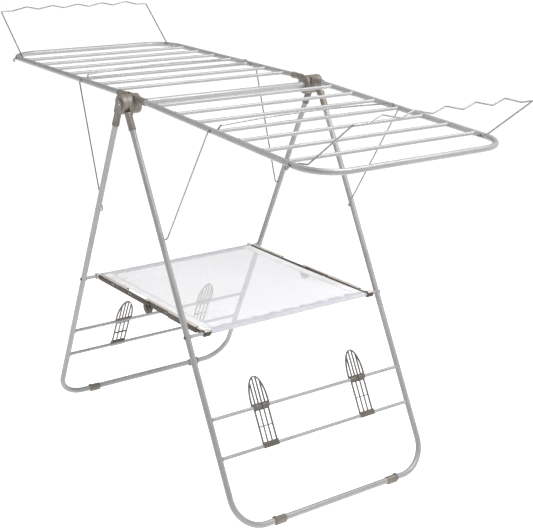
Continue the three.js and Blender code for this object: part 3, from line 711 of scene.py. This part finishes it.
def build_wing(name):
    body = "wing_" + name
    matrix = WING_FRAME[name]
    corners = [
        Vector((TUBE_START, -WING_HALF_WIDTH, WING_OFFSET)),
        Vector((WING_LENGTH, -WING_HALF_WIDTH, WING_OFFSET)),
        Vector((WING_LENGTH, WING_HALF_WIDTH, WING_OFFSET)),
        Vector((TUBE_START, WING_HALF_WIDTH, WING_OFFSET)),
    ]
    path = [matrix @ p for p in bent_path(corners, CORNER_RADIUS, CORNER_STEPS)]
    tube = "wing_tube_" + name
    tube_piece(tube + "_smooth", path, WING_TUBE_RADIUS, TUBE_SIDES, TUBE, body, (tube,))

    rail_half = WING_HALF_WIDTH - WING_TUBE_RADIUS + WELD_INSET
    for i in range(RAIL_COUNT):
        x = RAIL_FIRST + i * RAIL_PITCH
        welded_rod(f"rail_{name}_{i + 1}", matrix, x, WING_OFFSET, rail_half, body)

    along = matrix.to_3x3() @ Vector((1, 0, 0))
    for side in (-1, 1):
        end = end_label(name, side)
        socket = matrix @ Vector((0, side * WING_HALF_WIDTH, WING_OFFSET))
        ribs = socket_ribs(socket, along, *WING_RIBS)
        refined(f"wing_bracket_{name}_{end}", body, [PLASTIC], BEVEL["bracket"], ribs)

    strut = "strut_" + name
    hanger = "hanger_" + name
    for wire, wire_path in ((strut, strut_path(name)), (hanger, hanger_path(name))):
        tube_piece(
            wire + "_wire", wire_path, WIRE_RADIUS, WIRE_SIDES, WIRE, wire, (wire,),
            WIRE_EASE)

    washers = []
    for distance in (STRUT_PIVOT[name], HANGER_PIVOT[name]):
        for side in (-1, 1):
            for face in (-1, 1):
                y = side * (WING_HALF_WIDTH + face * (WING_TUBE_RADIUS + GROMMET_STAND))
                centre = matrix @ Vector((distance, y, WING_OFFSET))
                washers.append(ring_around(centre, Vector((0, 1, 0)), *GROMMET, GROMMET_SIDES))
    vertices, faces = merged(washers)
    new_piece(f"wing_grommets_{name}", vertices, faces, [DARK_METAL], body)


# ------------------------------------------------------------------ hub and shelf

def build_hub():
    refined("axle_tube", "frame_right", [TUBE], BEVEL["axle"])
    for end in ("near", "far"):
        refined("axle_cap_" + end, "frame_right", [PLASTIC], BEVEL["cap"])
        low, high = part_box("axle_cap_" + end)
        outward = 1 if end == "far" else -1
        face = high.y if end == "far" else low.y
        path = [Vector((HUB.x, face + outward * depth, HUB.z)) for depth, _ in PLUG_PROFILE]
        vertices, faces = swept(path, [radius for _, radius in PLUG_PROFILE], ROD_SIDES)
        new_piece("axle_plug_" + end, vertices, faces, [PLUG], "frame_right")


def bar_trim(name, end, body):
    """Each window of a bar's half has a near-black web, painted shade inside the window, and two pale
    pegs in front of it.
    """
    pegs, shade_webs = [], []
    for distance, span in ((INNER_WINDOW, LAP_SPAN[name]), (OUTER_WINDOW, BAR_SPAN)):
        x = HUB.x + SIDES[name] * distance
        low, high = BAR_Y[end] + span[0], BAR_Y[end] + span[1]
        middle, half = (low + high) / 2, (high - low) / 2
        for across in (-1, 1):
            centre = Vector((x + across * PEG_SPACING, middle, rod_place(name).z))
            pegs.append(peg(centre, half - PEG_SHORTER))
        # near-black web in the window: painted shade
        shade_webs.append(shade_web(Vector((x, middle, rod_place(name).z))))
    vertices, faces = merged(pegs)
    new_piece(f"bar_pegs_{name}_{end}", vertices, faces, [PALE_PLASTIC], body)
    vertices, faces = merged(shade_webs)
    new_piece(f"bar_shade_webs_{name}_{end}", vertices, faces, [WINDOW_SHADE_PLASTIC], body)


def shade_web(centre):
    """Thin upright near-black web with eased corners: painted shade filling a window."""
    length, height, ease = SHADE_WEB_HALF_LENGTH, SHADE_WEB_HALF_HEIGHT, SHADE_WEB_EASE
    outline = [
        (-length + ease, -height), (length - ease, -height),
        (length, -height + ease), (length, height - ease),
        (length - ease, height), (-length + ease, height),
        (-length, height - ease), (-length, -height + ease),
    ]
    depths = (-SHADE_WEB_HALF_DEPTH, SHADE_WEB_HALF_DEPTH)
    vertices = [centre + Vector((x, y, z)) for y in depths for x, z in outline]
    count = len(outline)
    faces = [tuple(range(count)), tuple(range(2 * count - 1, count - 1, -1))]
    for i in range(count):
        n = (i + 1) % count
        faces.append((n, i, i + count, n + count))
    return vertices, faces


def bar_face(centre, normal):
    """The moulding is pale at its left hook and dark on its sides; its upward faces take a paler copy
    of the plastic, a painted highlight on its top.

    The number is the face's place in BAR_MATERIALS.
    """
    if centre.x < rod_place("left").x + PALE_END:
        return 2
    # upward faces take the painted highlight
    return 1 if normal.z > UPWARD else 0


def peg(centre, half):
    """Round peg across a window, with eased ends."""
    tip, ease = PEG_RADIUS * 0.8, 0.5 * MM
    stations = [(-half, tip), (-half + ease, PEG_RADIUS), (half - ease, PEG_RADIUS), (half, tip)]
    path = [centre + Vector((0, y, 0)) for y, _ in stations]
    return swept(path, [r for _, r in stations], PEG_SIDES)


def rod_place(name):
    return LEG_FRAME[name] @ Vector((LEG_OFFSET, 0, -SHELF_ROD_DISTANCE))


def build_shelf():
    for name in SIDES:
        body = "shelf_" + name
        for end in ("near", "far"):
            refined(
                f"spreader_{name}_{end}", body, BAR_MATERIALS, BEVEL["bar"],
                choose=bar_face)
            bar_trim(name, end, body)
    for end in ("near", "far"):
        refined("spreader_pin_" + end, "shelf_left", [DARK_METAL], BEVEL["pin"])
    build_net()


def wave_sum(waves, y):
    return sum(size * math.sin(y * rate + phase) for size, rate, phase in waves)


def net_ripple(y, reach):
    """Height of the cloth's gathers, strongest beside a rod. reach: distance inward from it."""
    pucker = math.exp(-reach / RIPPLE_FADE) if reach > 0 else RIPPLE_ON_ROD
    return RIPPLE_HEIGHT * pucker * wave_sum(RIPPLE_WAVES, y) if abs(reach) > 1 * MM else 0


def build_net():
    left, right = rod_place("left"), rod_place("right")
    y_low, y_high = SHELF_Y
    columns = []
    # the sleeve wraps each rod from underneath, over the outside and onto the top
    for step in range(SLEEVE_STEPS + 1):
        turn = math.radians(SLEEVE_UNDER - SLEEVE_WRAP * step / SLEEVE_STEPS)
        x = left.x + SLEEVE_RADIUS * math.cos(turn)
        columns.append((x, left.z + SLEEVE_RADIUS * math.sin(turn)))
    top = left.z + SLEEVE_RADIUS
    inner_low, inner_high = left.x + NET_START, right.x - NET_START
    for i in range(NET_COLUMNS + 1):
        share = i / NET_COLUMNS
        x = inner_low + (inner_high - inner_low) * share
        columns.append((x, top - SHELF_SAG * math.sin(math.pi * share)))
    for step in range(SLEEVE_STEPS + 1):
        turn = math.radians(90 - SLEEVE_WRAP * step / SLEEVE_STEPS)
        x = right.x + SLEEVE_RADIUS * math.cos(turn)
        columns.append((x, right.z + SLEEVE_RADIUS * math.sin(turn)))

    lengths = [0.0]
    for (x0, z0), (x1, z1) in zip(columns, columns[1:]):
        lengths.append(lengths[-1] + math.hypot(x1 - x0, z1 - z0))
    vertices, uvs = [], []
    for j in range(NET_ROWS + 1):
        y = y_low + (y_high - y_low) * j / NET_ROWS
        for (x, z), along in zip(columns, lengths):
            lift = net_ripple(y, min(x - left.x, right.x - x))
            vertices.append(Vector((x, y, z + max(lift, RIPPLE_FLOOR))))
            uvs.append((along, y))
    width = len(columns)
    faces, kinds = [], []
    for j in range(NET_ROWS):
        y = y_low + (y_high - y_low) * (j + 0.5) / NET_ROWS
        for i in range(width - 1):
            x = (columns[i][0] + columns[i + 1][0]) / 2
            notched = x > right.x - MESH_NOTCH[0] and y < y_low + MESH_NOTCH[1]
            if notched:
                continue
            a = j * width + i
            faces.append((a, a + 1, a + 1 + width, a + width))
            wander = wave_sum(WANDER_WAVES, y)
            rod_hem = x < left.x + SLEEVE_HEM + wander or x > right.x - SLEEVE_HEM - wander
            side_hem = y < y_low + SIDE_HEM or y > y_high - SIDE_HEM
            kinds.append(1 if rod_hem else (2 if side_hem else 0))
    piece = new_piece(
        "shelf_net_sheet", vertices, faces, [NET, SLEEVE_CLOTH, HEM], None,
        ("shelf_mesh",), 180)
    mesh = piece.data
    layer = mesh.uv_layers.new(name="sheet")
    for polygon, kind in zip(mesh.polygons, kinds):
        polygon.material_index = kind
        for loop in polygon.loop_indices:
            layer.data[loop].uv = uvs[mesh.loops[loop].vertex_index]
    work = bmesh.new()
    work.from_mesh(mesh)
    loose = [v for v in work.verts if not v.link_faces]
    bmesh.ops.delete(work, geom=loose, context="VERTS")
    work.to_mesh(mesh)
    work.free()
    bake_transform(piece)


build_hub()
for side_name in SIDES:
    build_leg_frame(side_name)
    build_wing(side_name)
build_shelf()


# ------------------------------------------------------------------ floor, light and camera

FLOOR_REACH = 60.0
FLOOR_GLOW = 0.95
SKY_STRENGTH = 0.2
LIGHT_TARGET = (0, 0, 0.7)
LIGHTS = [
    # name, place, side in metres, watts
    ("key", (1.4, 0.8, 3.2), 1.8, 120),
    ("front", (-1.6, -2.6, 2.2), 1.2, 22),
]

CAMERA_YAW = math.radians(54.345)
CAMERA_PITCH = math.radians(17.577)
CAMERA_DISTANCE = 2.8871
CAMERA_TARGET = HUB + Vector((0.28963, 0, -0.39893))
CAMERA_LENS = 78.588
CAMERA_SENSOR = 36
CAMERA_SHIFT = (-0.04407, 0.00897)
CAMERA_CLIP_END = 200


def build_floor():
    """Plain pale floor, lit evenly so that it reads as one white ground."""
    mesh = bpy.data.meshes.new("floor")
    reach = FLOOR_REACH
    corners = [(-reach, -reach, 0), (reach, -reach, 0), (reach, reach, 0), (-reach, reach, 0)]
    mesh.from_pydata(corners, [], [(0, 1, 2, 3)])
    floor = bpy.data.objects.new("floor", mesh)
    bpy.context.scene.collection.objects.link(floor)
    material, _, shader = new_material("floor_paper", (0.6, 0.6, 0.6), 0.9)
    shader.inputs["Specular IOR Level"].default_value = 0.1
    shader.inputs["Emission Color"].default_value = (1, 1, 1, 1)
    shader.inputs["Emission Strength"].default_value = FLOOR_GLOW
    mesh.materials.append(material)


def area_light(name, place, side, power):
    data = bpy.data.lights.new(name, "AREA")
    data.shape = "RECTANGLE"
    data.size = data.size_y = side
    data.energy = power
    lamp = bpy.data.objects.new(name, data)
    lamp.location = place
    aim = Vector(LIGHT_TARGET) - Vector(place)
    lamp.rotation_euler = aim.to_track_quat("-Z", "Y").to_euler()
    bpy.context.scene.collection.objects.link(lamp)


def build_lights():
    world = bpy.data.worlds.new("studio")
    world.use_nodes = True
    background = world.node_tree.nodes["Background"]
    background.inputs["Color"].default_value = (1, 1, 1, 1)
    background.inputs["Strength"].default_value = SKY_STRENGTH
    bpy.context.scene.world = world
    for light in LIGHTS:
        area_light(*light)
    bpy.context.scene.view_settings.view_transform = "Standard"


def build_camera():
    level = Vector((math.sin(CAMERA_YAW), -math.cos(CAMERA_YAW), 0))
    back = level * math.cos(CAMERA_PITCH) + Vector((0, 0, math.sin(CAMERA_PITCH)))
    data = bpy.data.cameras.new("camera")
    data.sensor_fit = "HORIZONTAL"
    data.sensor_width = CAMERA_SENSOR
    data.lens = CAMERA_LENS
    data.shift_x, data.shift_y = CAMERA_SHIFT
    data.clip_end = CAMERA_CLIP_END
    camera = bpy.data.objects.new("camera", data)
    camera.location = CAMERA_TARGET + back * CAMERA_DISTANCE
    camera.rotation_euler = back.to_track_quat("Z", "Y").to_euler()
    bpy.context.scene.collection.objects.link(camera)
    bpy.context.scene.camera = camera


build_floor()
build_lights()
build_camera()
